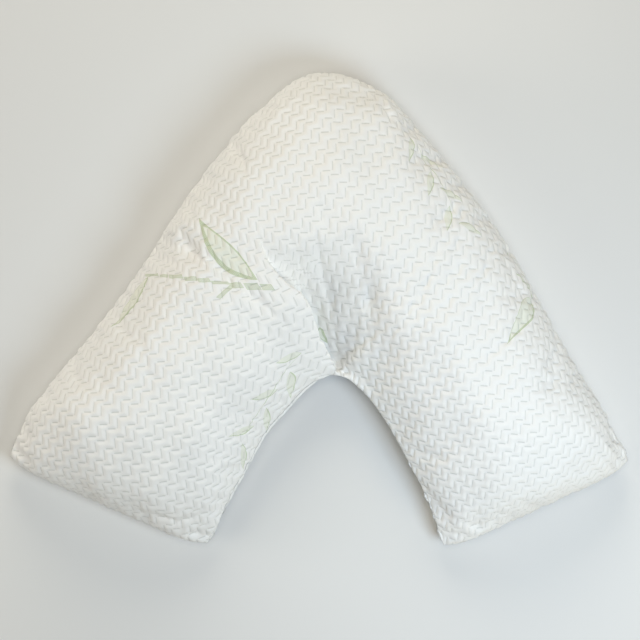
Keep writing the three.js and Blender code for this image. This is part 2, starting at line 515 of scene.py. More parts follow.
# %% [markdown]
# The quilting and the print belong to the cloth, so they need the cloth's own flat coordinates. Opening
# the cover along its seam and flattening each panel gives them, just as unpicking a real cover does.
# Flattening is slow, so it is done on every second point of the folded grid, and the points in between
# follow by the same smooth curve.

# %% Flatten the two panels
FLATTENING_ROUNDS = 30


def vertex_values(mesh, field_values, loops):
    """One value for each vertex, out of the values of the face corners in loops."""
    vertex = np.empty(len(mesh.loops), np.int32)
    mesh.loops.foreach_get("vertex_index", vertex)
    values = np.zeros((len(mesh.vertices), field_values.shape[1]))
    values[vertex[loops]] = field_values[loops]
    return values


def flattened(front_grid, back_grid):
    """The flat coordinates of both panels' grids, as the unwrap leaves them."""
    mesh, front_at, back_at, _ = sewn_cover(front_grid, back_grid)
    piece = bpy.data.objects.new("unpicked_cover", mesh)
    bpy.context.scene.collection.objects.link(piece)
    ring = front_at[0].tolist() + front_at[1:, -1].tolist()
    ring += front_at[-1, -2::-1].tolist() + front_at[-2:0:-1, 0].tolist()
    ring_pairs = {frozenset(pair) for pair in zip(ring, ring[1:] + ring[:1])}
    for edge in mesh.edges:
        edge.use_seam = frozenset(edge.vertices) in ring_pairs
    mesh.uv_layers.new(name="panel")
    bpy.context.view_layer.objects.active = piece
    piece.select_set(True)
    bpy.ops.object.mode_set(mode="EDIT")
    bpy.ops.mesh.select_all(action="SELECT")
    bpy.ops.uv.unwrap(method="MINIMUM_STRETCH", margin=0.01, iterations=FLATTENING_ROUNDS)
    bpy.ops.object.mode_set(mode="OBJECT")
    flat = np.empty(len(mesh.loops) * 2, np.float32)
    mesh.uv_layers["panel"].uv.foreach_get("vector", flat)
    flat = flat.reshape(-1, 2).astype(float)
    of_front = np.arange(len(flat)) < len(flat) // 2
    sides = (of_front, front_at), (~of_front, back_at)
    grids = [vertex_values(mesh, flat, loops)[at] for loops, at in sides]
    bpy.data.objects.remove(piece)
    return grids


points = read_points(cover_mesh)
front_grid, back_grid = points[front_number], points[back_number]
front_flat, back_flat = flattened(front_grid[::FINER, ::FINER], back_grid[::FINER, ::FINER])
print("flattened grids:", front_flat.shape, back_flat.shape)

# %% [markdown]
# Each flat panel is now turned and sized until it lies over the plan in real metres, and the back panel is
# put to one side, so that no print of the front falls on it. Knit gives, where stiff paper would not, so row
# by row the cloth is turned and sized a little. A complex number turns and sizes a place in one product.

# %% Helpers that lay a flat panel over the plan
BACK_ASIDE = 1.6
GIVE = np.array([  # share of the way round, turn in degrees, size
    (0.0, 20, 1.0),
    (0.2, 16, 1.0),
    (0.35, 3, 1.0),
    (0.5, -5, 1.0),
    (0.7, -9, 1.0),
    (1.0, -20, 1.15),
])


def grid_area(grid):
    """Area of all the quads of a grid, by their diagonals."""
    p, q = grid[1:, 1:] - grid[:-1, :-1], grid[1:, :-1] - grid[:-1, 1:]
    if grid.shape[2] == 2:
        return np.abs(p[..., 0] * q[..., 1] - p[..., 1] * q[..., 0]).sum() / 2
    return np.linalg.norm(np.cross(p, q), axis=2).sum() / 2


def laid_over(flat, filled, mirror):
    """The flat grid in real metres, turned and moved so that it lies best over the filled one's plan."""
    own = flat.reshape(-1, 2)
    plan_points = filled[..., :2].reshape(-1, 2) * (mirror, 1)
    own_middle, plan_middle = own.mean(0), plan_points.mean(0)
    u, _, vt = np.linalg.svd((own - own_middle).T @ (plan_points - plan_middle))
    turn = u @ np.diag([1, np.sign(np.linalg.det(u @ vt))]) @ vt
    scale = math.sqrt(grid_area(filled) / grid_area(flat))
    return ((own - own_middle) @ turn * scale + plan_middle).reshape(flat.shape)


def with_give(flat):
    """The flat grid after each of its rows is turned and sized by what the knit gives there."""
    share = np.linspace(0, 1, len(flat))
    turn = np.radians(np.interp(share, GIVE[:, 0], GIVE[:, 1]))
    change = np.interp(share, GIVE[:, 0], GIVE[:, 2]) * np.exp(1j * turn)
    place = flat[..., 0] + 1j * flat[..., 1]
    line = place[:, place.shape[1] // 2]
    step = np.diff(line) * (change[1:] + change[:-1]) / 2
    new_line = np.concatenate([[0], np.cumsum(step)])
    new_line += line[len(line) // 2] - new_line[len(line) // 2]
    place = new_line[:, None] + change[:, None] * (place - line[:, None])
    return np.dstack([place.real, place.imag])


# %% [markdown]
# Both panels are laid down, and every corner of every face gets its flat place in real metres: those of
# the front out of the front's grid, and those of the back out of the back's.

# %% Write the flat coordinates as a UV map
front_cut = laid_over(finer(front_flat), front_grid, 1)
back_cut = laid_over(finer(back_flat), back_grid, -1)
front_flat, back_flat = with_give(front_cut), with_give(back_cut) + (BACK_ASIDE, 0)
flat_of = np.zeros((2, len(points), 2))
flat_of[0][front_number], flat_of[1][back_number] = front_flat, back_flat
corner_vertex = np.empty(len(cover_mesh.loops), np.int32)
cover_mesh.loops.foreach_get("vertex_index", corner_vertex)
on_back = np.arange(len(corner_vertex)) >= len(corner_vertex) // 2
layer = cover_mesh.uv_layers.new(name="panel")
layer.uv.foreach_set("vector", flat_of[on_back.astype(int), corner_vertex].astype(np.float32).ravel())
print("front panel, cut flat, metres:", np.ptp(front_flat, axis=(0, 1)).round(3))

# %% [markdown]
# One round of subdivision brings the grid down to about two millimetres, fine enough to carry the
# quilting as real relief. The flat coordinates and the distance to the seam are carried along.

# %% Subdivide the filled cover
FINE_LEVELS = 1


def evaluated_copy(piece, name):
    """The piece with its modifiers worked out, as a plain mesh of its own."""
    graph = bpy.context.evaluated_depsgraph_get()
    mesh = bpy.data.meshes.new_from_object(piece.evaluated_get(graph), depsgraph=graph)
    mesh.name = name
    return mesh


smoothing = cover.modifiers.new("fine", "SUBSURF")
smoothing.levels = smoothing.render_levels = FINE_LEVELS
smoothing.uv_smooth = "PRESERVE_BOUNDARIES"
fine_mesh = evaluated_copy(cover, "pillow_cover_fine")
cover.modifiers.remove(smoothing)
cover.data = fine_mesh
fine_mesh.shade_smooth()
print("fine cover:", len(fine_mesh.polygons), "quads")

# %% [markdown]
# Creases are narrower than the first grid, so they wait for the fine one. Each is a bent line on the front
# with a half width and a depth, and it moves the knit along its own normal, because most of them lie near
# the edge, where the knit already turns down. A negative depth makes a ridge.

# %% Small creases near the corners, the point and the fold
CREASE_HOLD = 0.012  # creases fade out over this distance from the edge seam
CREASES = [  # half width, depth, then points of the line
    (5, -1, (269, 127), (280, 106), (311, 52), (320, 30), (338, 8), (352, -11)),  # pinch beside the leaf
    (4, 1.5, (261, 124), (273, 103), (304, 50), (313, 28), (331, 5), (344, -14)),
    (4, -3, (103, 334), (113, 313), (128, 290)),  # pinch on the point's right shoulder
    (4, 3, (96, 331), (106, 310), (121, 287)),
    (4, 3, (-47, 350), (-43, 328)),  # nick on the point's left side
    (7, 7, (-302, -316), (-275, -328), (-253, -331), (-227, -340), (-200, -333), (-174, -316)),  # left ear
    (4, 2, (-231, -358), (-208, -349), (-188, -336)),
    (4, 2, (-212, -364), (-192, -353), (-176, -341)),
    (4, 1.5, (-150, -310), (-160, -338)),
    (5, 3, (212, -331), (232, -343), (257, -345), (286, -338)),  # right ear
    (4, 2, (213, -358), (232, -365), (250, -361)),
    (5, 2, (481, -242), (462, -256), (444, -268), (420, -279)),  # tuck at the right arm's outer corner
    (4, 2, (-455, -238), (-425, -250), (-396, -254)),
]


def crease(points, half_width, depth, line):
    """How far a crease moves each point along its normal: most in its middle, nothing past its ends."""
    signed, place = nearest_on_line(points, line)
    along = np.clip(place / (len(line) - 1), 0, 1)
    return -depth * np.exp(-((signed / half_width) ** 2)) * np.sqrt(np.sin(np.pi * along))


def read_attribute(mesh, name, field, width):
    values = np.empty(len(mesh.vertices) * width, np.float32)
    mesh.attributes[name].data.foreach_get(field, values)
    return values.reshape(-1, width).astype(float)


points = read_points(fine_mesh)
normals = np.empty(len(points) * 3, np.float32)
fine_mesh.vertex_normals.foreach_get("vector", normals)
normals = normals.reshape(-1, 3).astype(float)
on_front = np.nonzero(read_attribute(fine_mesh, "is_front", "value", 1)[:, 0] > 0.5)[0]
hold = ease(read_attribute(fine_mesh, "seam_gap", "vector", 3)[on_front].min(1), 0, CREASE_HOLD)
moved = np.zeros(len(on_front))
for half_width, depth, *line in CREASES:
    moved += crease(points[on_front, :2], half_width * MM, depth * MM, np.array(line) * MM)
points[on_front] += (moved * hold)[:, None] * normals[on_front]
write_points(fine_mesh, points)
print(len(CREASES), "creases, deepest", (-moved.min() * 1000).round(1), "mm")

# %% [markdown]
# The same sums are needed twice: Geometry Nodes press the quilting into the mesh, and the material tints
# its grooves. Both kinds of node tree use the same Math node, so one small helper writes sums in either.

# %% A helper that writes sums as Math nodes
def sums(tree):
    """Returns a function that adds one Math node to the tree and gives back its result."""

    def work_out(operation, *terms):
        node = tree.nodes.new("ShaderNodeMath")
        node.operation = operation
        for socket, term in zip(node.inputs, terms):
            if isinstance(term, (int, float)):
                socket.default_value = term
            else:
                tree.links.new(term, socket)
        return node.outputs[0]

    return work_out


def soft_line(m, distance, half_width):
    """1 on a line, falling to nothing away from it."""
    share = m("DIVIDE", distance, half_width)
    return m("EXPONENT", m("MULTIPLY", m("MULTIPLY", share, share), -1.0))


def root_of_squares(m, a, b):
    """Straight distance out of two distances at right angles."""
    return m("SQRT", m("ADD", m("MULTIPLY", a, a), m("MULTIPLY", b, b)))


# %% [markdown]
# The quilting is a pattern of stairs. Every stair climbs to the right in equal steps, and its treads are
# pressed deeper than its risers. There are two families of stairs, one set a little lower, so the bands
# between them are wide and narrow by turns. A repeat like this needs no drawing: for any point of the
# cloth, a few sums find the nearest stair and the distance to its tread and riser.

# %% The stair pattern, as distances to the nearest tread and riser
QUILT = {  # metres
    "Run": 0.0190,
    "Rise": 0.0178,
    "Across": 0.0250,
    "Down": 0.0192,
    "Second across": 0.0124,
    "Second down": 0.0068,
}
TREAD_FROM, TREAD_TO = 0.23, 0.77
RISER_FROM, RISER_TO = 0.08, 0.86


def beyond(m, value, low, high):
    """How far value lies outside low to high, and 0 inside."""
    return m("MAXIMUM", m("MAXIMUM", m("SUBTRACT", low, value), m("SUBTRACT", value, high)), 0.0)


def stair_distances(m, x, y, size, second):
    """Distances from a point of the cloth to the nearest tread and riser of one family of stairs."""
    run, rise = size["Run"], size["Rise"]
    if second:
        x = m("SUBTRACT", x, size["Second across"])
        y = m("ADD", y, size["Second down"])
    slope = m("DIVIDE", rise, run)
    pitch = m("ADD", size["Down"], m("MULTIPLY", slope, size["Across"]))
    above = m("ADD", m("SUBTRACT", y, m("MULTIPLY", slope, x)), m("MULTIPLY", rise, 0.5))
    stair = m("ROUND", m("MULTIPLY", m("DIVIDE", above, pitch), -1.0))
    x = m("SUBTRACT", x, m("MULTIPLY", stair, size["Across"]))
    y = m("ADD", y, m("MULTIPLY", stair, size["Down"]))
    steps = m("DIVIDE", x, run)
    tread = m("FLOOR", steps)
    riser = m("ROUND", steps)
    off_tread = m("MULTIPLY", beyond(m, m("SUBTRACT", steps, tread), TREAD_FROM, TREAD_TO), run)
    to_tread = root_of_squares(m, m("SUBTRACT", y, m("MULTIPLY", tread, rise)), off_tread)
    climbed = m("ADD", m("SUBTRACT", m("DIVIDE", y, rise), riser), 1.0)
    off_riser = m("MULTIPLY", beyond(m, climbed, RISER_FROM, RISER_TO), rise)
    to_riser = root_of_squares(m, m("SUBTRACT", x, m("MULTIPLY", riser, run)), off_riser)
    return to_tread, to_riser


def nearest_stair(m, x, y, size):
    """Distances to the nearest tread and to the nearest riser of both families."""
    tread_1, riser_1 = stair_distances(m, x, y, size, second=False)
    tread_2, riser_2 = stair_distances(m, x, y, size, second=True)
    return m("MINIMUM", tread_1, tread_2), m("MINIMUM", riser_1, riser_2)


# %% [markdown]
# Geometry Nodes press the stairs into the fine cover. Each size is an input of the tree, so the quilting
# can be made deeper or finer without touching the sums. Where thread gathers the knit, uneven puckers
# leave the seam at right angles. Noise that is stretched away from the seam gives them, and the lengths
# along the seam keep them in one piece round every bend.

# %% Sizes of the relief, and puckers along the seam
RELIEF = {  # metres; the inputs of the tree, beside those of the stair pattern
    "Tread depth": 0.0013,
    "Tread width": 0.0022,
    "Riser depth": 0.0009,
    "Riser width": 0.0021,
    "Band swell": 0.0014,
    "Band edge": 0.0045,
    "Seam depth": 0.0026,
    "Seam width": 0.0036,
    "Seam margin": 0.0075,
    "Pucker pitch": 0.0110,
    "Pucker reach": 0.0200,
    "Pucker depth": 0.0036,
    "Pucker drift": 0.0900,
    "Corner reach": 0.0450,
}
PUCKER_SHIFT = 7.3  # moves the noise on, so that no two seams pucker alike


def seam_attribute(tree, name, kind="GeometryNodeInputNamedAttribute"):
    """The three numbers that each point keeps for the outer, inner and end seams."""
    attribute = tree.nodes.new(kind)
    if kind == "ShaderNodeAttribute":
        attribute.attribute_name = name
        vector = attribute.outputs["Vector"]
    else:
        attribute.data_type = "FLOAT_VECTOR"
        attribute.inputs["Name"].default_value = name
        vector = attribute.outputs["Attribute"]
    split = tree.nodes.new("ShaderNodeSeparateXYZ")
    tree.links.new(vector, split.inputs[0])
    return split.outputs[:]


def puckers(tree, m, gap, run, number, size):
    """Uneven little folds that leave one seam at right angles and die out."""
    place = tree.nodes.new("ShaderNodeCombineXYZ")
    tree.links.new(m("DIVIDE", run, size["Pucker pitch"]), place.inputs[0])
    tree.links.new(m("DIVIDE", gap, size["Pucker drift"]), place.inputs[1])
    place.inputs[2].default_value = PUCKER_SHIFT * number
    noise = tree.nodes.new("ShaderNodeTexNoise")
    noise.inputs["Scale"].default_value = 1.0
    noise.inputs["Detail"].default_value = 1.0
    tree.links.new(place.outputs[0], noise.inputs["Vector"])
    fading = m("EXPONENT", m("MULTIPLY", m("DIVIDE", gap, size["Pucker reach"]), -1.0))
    wave = m("SUBTRACT", noise.outputs[0], 0.5)
    return m("MULTIPLY", m("MULTIPLY", wave, fading), size["Pucker depth"])


# %% [markdown]
# The tree works out one height for each point and moves the point by it along its normal. The relief
# fades out at the edge seam, which the same tree draws in as a groove, because thread pulls the two
# panels together there. Near a corner there is no room for puckers, so they fade out as well.

# %% A Geometry Nodes tree that presses the quilting into the cover
def quilting_tree(material):
    """The tree of nodes; every size of the stairs and of the relief is one of its inputs."""
    tree = bpy.data.node_groups.new("press_quilting", "GeometryNodeTree")
    face = tree.interface
    face.new_socket("Geometry", in_out="INPUT", socket_type="NodeSocketGeometry")
    face.new_socket("Geometry", in_out="OUTPUT", socket_type="NodeSocketGeometry")
    for name, value in {**QUILT, **RELIEF}.items():
        socket = face.new_socket(name, in_out="INPUT", socket_type="NodeSocketFloat")
        socket.default_value = value
        socket.subtype = "DISTANCE"
    m = sums(tree)
    start = tree.nodes.new("NodeGroupInput")
    size = {socket.name: socket for socket in start.outputs if socket.name}
    panel = tree.nodes.new("GeometryNodeInputNamedAttribute")
    panel.data_type = "FLOAT_VECTOR"
    panel.inputs["Name"].default_value = "panel"
    place = tree.nodes.new("ShaderNodeSeparateXYZ")
    tree.links.new(panel.outputs["Attribute"], place.inputs[0])
    gap, run = (seam_attribute(tree, name) for name in ("seam_gap", "seam_run"))
    rise = tree.nodes.new("GeometryNodeInputNamedAttribute")
    rise.data_type = "FLOAT"
    rise.inputs["Name"].default_value = "seam_rise"
    to_inner = m("ABSOLUTE", m("SUBTRACT", gap[1], rise.outputs["Attribute"]))
    to_side = m("MINIMUM", gap[0], to_inner)
    to_seam = m("MINIMUM", to_side, gap[2])
    to_corner = m("MAXIMUM", m("MINIMUM", gap[0], gap[1]), gap[2])
    off_corner = m("MINIMUM", m("DIVIDE", to_corner, size["Corner reach"]), 1.0)
    tread, riser = nearest_stair(m, place.outputs["X"], place.outputs["Y"], size)
    nearest = m("MINIMUM", tread, riser)
    relief = m("MULTIPLY", m("SUBTRACT", 1.0, soft_line(m, nearest, size["Band edge"])), size["Band swell"])
    for distance, kind in ((tread, "Tread"), (riser, "Riser")):
        groove = m("MULTIPLY", soft_line(m, distance, size[kind + " width"]), size[kind + " depth"])
        relief = m("SUBTRACT", relief, groove)
    inside = m("MINIMUM", m("DIVIDE", to_seam, size["Seam margin"]), 1.0)
    for number in range(3):
        pucker = puckers(tree, m, gap[number], run[number], number, size)
        relief = m("ADD", relief, m("MULTIPLY", pucker, off_corner))
    seam_groove = m("MULTIPLY", soft_line(m, to_seam, size["Seam width"]), size["Seam depth"])
    seam_groove = m("MULTIPLY", seam_groove, off_corner)
    relief = m("SUBTRACT", m("MULTIPLY", relief, m("MULTIPLY", inside, inside)), seam_groove)
    normal = tree.nodes.new("GeometryNodeInputNormal")
    push = tree.nodes.new("ShaderNodeVectorMath")
    push.operation = "SCALE"
    tree.links.new(normal.outputs[0], push.inputs[0])
    tree.links.new(relief, push.inputs["Scale"])
    press = tree.nodes.new("GeometryNodeSetPosition")
    realize = tree.nodes.new("GeometryNodeRealizeInstances")
    dress = tree.nodes.new("GeometryNodeSetMaterial")
    dress.inputs["Material"].default_value = material
    end = tree.nodes.new("NodeGroupOutput")
    tree.links.new(start.outputs["Geometry"], press.inputs["Geometry"])
    tree.links.new(push.outputs[0], press.inputs["Offset"])
    tree.links.new(press.outputs[0], realize.inputs[0])
    tree.links.new(realize.outputs[0], dress.inputs["Geometry"])
    tree.links.new(dress.outputs[0], end.inputs[0])
    return tree


def made_by_nodes(piece, tree, name):
    """Runs a Geometry Nodes tree on a piece and leaves the result as its plain mesh."""
    nodes = piece.modifiers.new(name, "NODES")
    nodes.node_group = tree
    mesh = evaluated_copy(piece, name)
    piece.modifiers.remove(nodes)
    piece.data = mesh
    mesh.shade_smooth()


# %% [markdown]
# A print of leaves and jointed cane lies on the front, in pale green. A leaf is placed by where its base
# and tip show on the filled pillow, and looking up the cloth there gives its place on the flat panel, so
# the print bends and stretches as the real one does. Two small sprigs lie apart, one near the right outer
# seam and one near the left arm's inner seam.

# %% Where the print lies on the cloth
POINTED, ROUND = 0.8, 0.55  # how full a leaf's base is: these are the two kinds
LEAVES = [  # base, tip, half width, how far the middle bows to the left on the way to the tip, rim, fullest
    ((-94, 40), (-188, 141), 20.5, 5.5, 7.5, POINTED),  # the large leaf on the left arm
    ((-268, 50), (-330, -33), 11.0, 3.0, 3.0, POINTED),  # the narrow leaf at the left arm's outer side
    ((332, 12), (289, -60), 17.0, -2.5, 3.4, ROUND),  # the leaf on the right arm
    ((340, 16), (306, 58), 5.0, 0.0, 2.4, POINTED),  # the narrow leaf above it
    ((-11, -4), (2, -32), 5.5, 0.5, 5.0, POINTED),  # the tip of a leaf inside the fold
    ((1, -28), (14, -56), 5.0, -0.5, 4.0, POINTED),  # and the rest of it
]
STEMS = [  # from, to, half width, bow
    ((316, 60), (341, 14), 1.6, 1.0),
    ((288, 114), (316, 60), 1.4, -1.0),
]
CANE = [  # from x, to x, y, half width of each joint, left to right
    (-274, -251, 51, 2.6),
    (-249, -235, 49, 3.0),
    (-233, -211, 47, 3.6),
    (-208, -188, 43, 3.8),
    (-186, -167, 40, 3.6),
    (-165, -139, 36, 3.0),
    (-136, -118, 32, 5.2),
    (-114, -92, 31, 6.0),
    (-88, -70, 30, 5.4),
]
TWIG = ((-134, 32), (-155, 12), 3.6)
CANE_SLANT = 0.5  # how far a joint's ends lean over
SPRIGS = [  # from, to, number of leaves
    ((140, 276), (226, 112), 6),
    ((-22, -62), (-134, -232), 6),
]
SPRIG_LEAF = (44, 6.5)  # length and half width
SPRIG_TURN = math.radians(34)
SPRIG_STEM, SPRIG_STEM_BOW = 0.9, 3.0
SPRIG_BOW, SPRIG_RIM = 1.0, 1.8


# %% [markdown]
# One helper looks up the cloth over a place of the plan, between the four nearest points of the grid. The
# other sets the leaves of a sprig on its stem, left and right by turns.

# %% Find a place on the cloth, and grow the sprigs
def cloth_at(place):
    """Flat coordinates of the front panel's cloth over a point of the plan, given in millimetres."""
    away = np.linalg.norm(front_grid[..., :2] - np.array(place) * MM, axis=2).ravel()
    nearest = np.argsort(away)[:4]
    weight = 1 / (away[nearest] + 1e-4)
    return (front_flat.reshape(-1, 2)[nearest] * weight[:, None]).sum(0) / weight.sum()


def sprig_leaves(start, end, count):
    """Leaves to the left and right of a stem by turns, each from its foot on the stem to its tip."""
    start, way = np.array(start, float), np.array(end, float) - start
    heading = math.atan2(way[1], way[0])
    length, half_width = SPRIG_LEAF
    for number in range(count):
        foot = start + way * (number + 0.3) / count
        turn = heading + (SPRIG_TURN if number % 2 else -SPRIG_TURN)
        tip = foot + length * np.array([math.cos(turn), math.sin(turn)])
        yield foot, tip, half_width, SPRIG_BOW, SPRIG_RIM, POINTED


for start, end, count in SPRIGS:
    STEMS.append((start, end, SPRIG_STEM, SPRIG_STEM_BOW))
    LEAVES.extend(sprig_leaves(start, end, count))
print(len(LEAVES), "leaves,", len(STEMS), "stems and", len(CANE), "joints of cane")

# %% [markdown]
# Each printed shape is drawn in its own small frame: one Mapping node turns the flat coordinates so that
# they run from 0 to 1 along the leaf and from -1 to 1 across it, and a few sums give the distance in from
# its outline. That distance gives the dark rim and the pale fill, and waves that run along the shape give
# its ticks and its hatching, as in an engraving.

# %% The printed shapes as sums
INK_EDGE = 0.0007
LEAF_TAPER = 1.2  # how far the tip of a leaf is drawn out
NARROW_RIM, WIDE_RIM = 0.45, 1.2  # shares of a leaf's rim width, on its two sides
HATCH_PITCH = 0.0026
TICK_PITCH = 0.0026
CANE_RIM = 0.0022
TICK_SHADE, RIM_SHADE = 0.18, 0.74  # how much the ticks change a rim's ink, and its mean strength
HATCH_SHADE, FILL_SHADE = 0.2, 0.6  # the same for the hatching and the fill
CANE_TICK_SHADE, CANE_SHADE, CANE_RIM_SHADE = 0.12, 0.5, 0.3
HATCH_SLANT = 1.4  # how far the hatching leans over from side to side
STEM_SHADE = 0.8


def from_0_to_1(socket):
    """The same result, held between 0 and 1 by its own node."""
    socket.node.use_clamp = True
    return socket


def own_frame(tree, cloth, start, end, half_width):
    """Places along and across a printed shape, and its length in metres."""
    start, end = Vector(cloth_at(start)), Vector(cloth_at(end))
    way = end - start
    frame_node = tree.nodes.new("ShaderNodeMapping")
    frame_node.vector_type = "TEXTURE"
    frame_node.inputs["Location"].default_value = (*start, 0)
    frame_node.inputs["Rotation"].default_value = (0, 0, math.atan2(way.y, way.x))
    frame_node.inputs["Scale"].default_value = (way.length, half_width, 1)
    tree.links.new(cloth, frame_node.inputs["Vector"])
    split = tree.nodes.new("ShaderNodeSeparateXYZ")
    tree.links.new(frame_node.outputs[0], split.inputs[0])
    return split.outputs["X"], split.outputs["Y"], way.length


# %% [markdown]
# A leaf's outline is a sine curve, fuller towards the base and drawn out at the tip, and an arch bows it.
# Its dark rim is wider on one side than on the other and is ticked across, and its pale fill is hatched.

# %% One printed leaf
def leaf_ink(tree, m, cloth, start, end, half_width, bow, rim, fullest):
    """Rim and fill of one printed leaf, each from 0 to 1. A low value of fullest gives a round base."""
    along, across, length = own_frame(tree, cloth, start, end, half_width * MM)
    inside = from_0_to_1(m("ADD", along, 0.0))
    profile = m("SINE", m("MULTIPLY", m("POWER", inside, fullest), math.pi))
    profile = m("POWER", m("MAXIMUM", profile, 0.0), LEAF_TAPER)
    arch = m("MULTIPLY", m("MULTIPLY", inside, m("SUBTRACT", 1.0, inside)), 4 * bow / half_width)
    across = m("SUBTRACT", across, arch)
    depth = m("MULTIPLY", m("SUBTRACT", profile, m("ABSOLUTE", across)), half_width * MM)
    shape = from_0_to_1(m("DIVIDE", depth, INK_EDGE))
    if not rim:
        return shape, None
    full_side = from_0_to_1(m("ADD", m("MULTIPLY", across, 2.0), 0.5))
    rim_share = m("ADD", m("MULTIPLY", full_side, WIDE_RIM - NARROW_RIM), NARROW_RIM)
    rim_width = m("MULTIPLY", rim_share, rim * MM)
    edge = from_0_to_1(m("DIVIDE", m("SUBTRACT", rim_width, depth), INK_EDGE))
    ticks = m("SINE", m("MULTIPLY", along, 2 * math.pi * length / TICK_PITCH))
    strength = m("ADD", m("MULTIPLY", ticks, TICK_SHADE), RIM_SHADE)
    slant = m("MULTIPLY", across, HATCH_SLANT * half_width * MM)
    slant = m("ADD", m("MULTIPLY", along, length), slant)
    hatch = m("SINE", m("MULTIPLY", slant, 2 * math.pi / HATCH_PITCH))
    fill = m("MULTIPLY", shape, m("ADD", m("MULTIPLY", hatch, HATCH_SHADE), FILL_SHADE))
    return m("MULTIPLY", m("MULTIPLY", shape, edge), strength), fill


# %% [markdown]
# A joint of cane is a bar with slanted ends. The last function lays all the shapes over each other, and
# where two of them meet, the stronger ink wins.

# %% The cane, and all the ink together
def cane_ink(tree, m, cloth, start, end, half_width):
    """One joint of the cane: a bar with slanted ends, ticked across."""
    along, across, length = own_frame(tree, cloth, start, end, half_width * MM)
    side = m("MULTIPLY", m("SUBTRACT", 1.0, m("ABSOLUTE", across)), half_width * MM)
    along = m("ADD", along, m("MULTIPLY", across, CANE_SLANT * half_width * MM / length))
    ends = m("MULTIPLY", m("SUBTRACT", 0.5, m("ABSOLUTE", m("SUBTRACT", along, 0.5))), length)
    bar = from_0_to_1(m("DIVIDE", m("MINIMUM", side, ends), INK_EDGE))
    ticks = m("SINE", m("MULTIPLY", along, 2 * math.pi * length / TICK_PITCH))
    rim = from_0_to_1(m("SUBTRACT", 1.0, m("DIVIDE", m("MINIMUM", side, ends), CANE_RIM)))
    strength = m("ADD", m("MULTIPLY", ticks, CANE_TICK_SHADE), CANE_SHADE)
    return m("MULTIPLY", bar, m("ADD", strength, m("MULTIPLY", rim, CANE_RIM_SHADE)))


def print_ink(tree, m, cloth):
    """Strength of the dark and of the pale green ink over the whole front."""
    dark, pale = 0.0, 0.0
    for leaf in LEAVES:
        rim, fill = leaf_ink(tree, m, cloth, *leaf)
        dark, pale = m("MAXIMUM", dark, rim), m("MAXIMUM", pale, fill)
    for start, end, half_width, bow in STEMS:
        stem, _ = leaf_ink(tree, m, cloth, start, end, half_width, bow, 0, POINTED)
        dark = m("MAXIMUM", dark, m("MULTIPLY", stem, STEM_SHADE))
    joints = [((x_1, y), (x_2, y), half_width) for x_1, x_2, y, half_width in CANE]
    for joint in [*joints, TWIG]:
        dark = m("MAXIMUM", dark, cane_ink(tree, m, cloth, *joint))
    return dark, pale


# %% [markdown]
# The knit is matt and soft: high roughness, a little sheen where it turns away from the eye, and fine
# stitches of knitting under the quilting. The grooves get painted shade, because less light gets in there,
# and they are a little darker in their own colour too, because the yarns lie close. The white drifts a
# little from place to place, as cloth that has been handled does.

# %% Colours and sizes of the knit
KNIT_WHITE = (0.865, 0.868, 0.86, 1)
KNIT_WARM = (0.88, 0.868, 0.84, 1)
# GROOVE_SHADE is painted shade in the quilting's grooves, with a little real darkening where the yarns lie
# close
GROOVE_SHADE = (0.78, 0.78, 0.77, 1)
# SEAM_SHADE is painted shade in the crevice where the two panels are sewn together
SEAM_SHADE = (0.42, 0.42, 0.43, 1)
SEAM_LINE = 0.0011
LEAF_GREEN = (0.50, 0.57, 0.38, 1)
LEAF_PALE = (0.76, 0.79, 0.66, 1)
DRIFT_SCALE = 9.0
# the tread and riser lines carry the painted shade of the grooves; a riser's is lighter than a tread's
TREAD_LINE, RISER_LINE = 0.0009, 0.0008  # half widths of the drawn-in lines
RISER_SHARE = 0.75  # how dark a riser's line is beside a tread's
# SEAM_STRENGTH sets how dark that painted shade along the seam is
SEAM_STRENGTH = 0.75  # how dark the seam's line is
STITCH_HEIGHT = 0.10  # height of a stitch beside the depth of a groove
BUMP_STRENGTH, BUMP_DISTANCE = 0.5, 0.0008
ROUGHNESS, SHEEN, SHEEN_ROUGHNESS = 0.9, 0.2, 0.5
WALE, COURSE = 0.0016, 0.0012  # one stitch of the knitting, across and up
STITCH_RIDGE, STITCH_WAVE = 0.6, 0.4  # what its column and its row add to a stitch's height


def mixed(tree, factor, a, b, blend="MIX"):
    """Colour b laid over colour a by a factor from 0 to 1."""
    node = tree.nodes.new("ShaderNodeMix")
    node.data_type = "RGBA"
    node.blend_type = blend
    for socket, value in zip((node.inputs["Factor"], node.inputs["A"], node.inputs["B"]), (factor, a, b)):
        if isinstance(value, (int, float, tuple)):
            socket.default_value = value
        else:
            tree.links.new(value, socket)
    return node.outputs["Result"]


# %% [markdown]
# The small stitches stand in columns, and each is V shaped, because its row slants up on one side of the
# column and down on the other. The seam's line of painted shade follows the distances that were kept on the
# mesh.

# %% The stitches and the seam's line
def knit_stitches(m, x, y):
    """Height of the small V shaped stitches, in columns."""
    column = m("DIVIDE", x, WALE)
    slant = m("PINGPONG", column, 0.5)
    row = m("ADD", m("DIVIDE", y, COURSE), slant)
    ridge = m("COSINE", m("MULTIPLY", column, 2 * math.pi))
    wave = m("SINE", m("MULTIPLY", row, 2 * math.pi))
    return m("ADD", m("MULTIPLY", ridge, -STITCH_RIDGE), m("MULTIPLY", wave, STITCH_WAVE))


def seam_line(tree, m):
    """1 on the line of stitches where the two panels meet, and on the stretch of it that has rolled up."""
    gap = seam_attribute(tree, "seam_gap", "ShaderNodeAttribute")
    rise = tree.nodes.new("ShaderNodeAttribute")
    rise.attribute_name = "seam_rise"
    to_inner = m("ABSOLUTE", m("SUBTRACT", gap[1], rise.outputs["Fac"]))
    nearest = m("MINIMUM", m("MINIMUM", gap[0], to_inner), gap[2])
    return soft_line(m, nearest, SEAM_LINE)
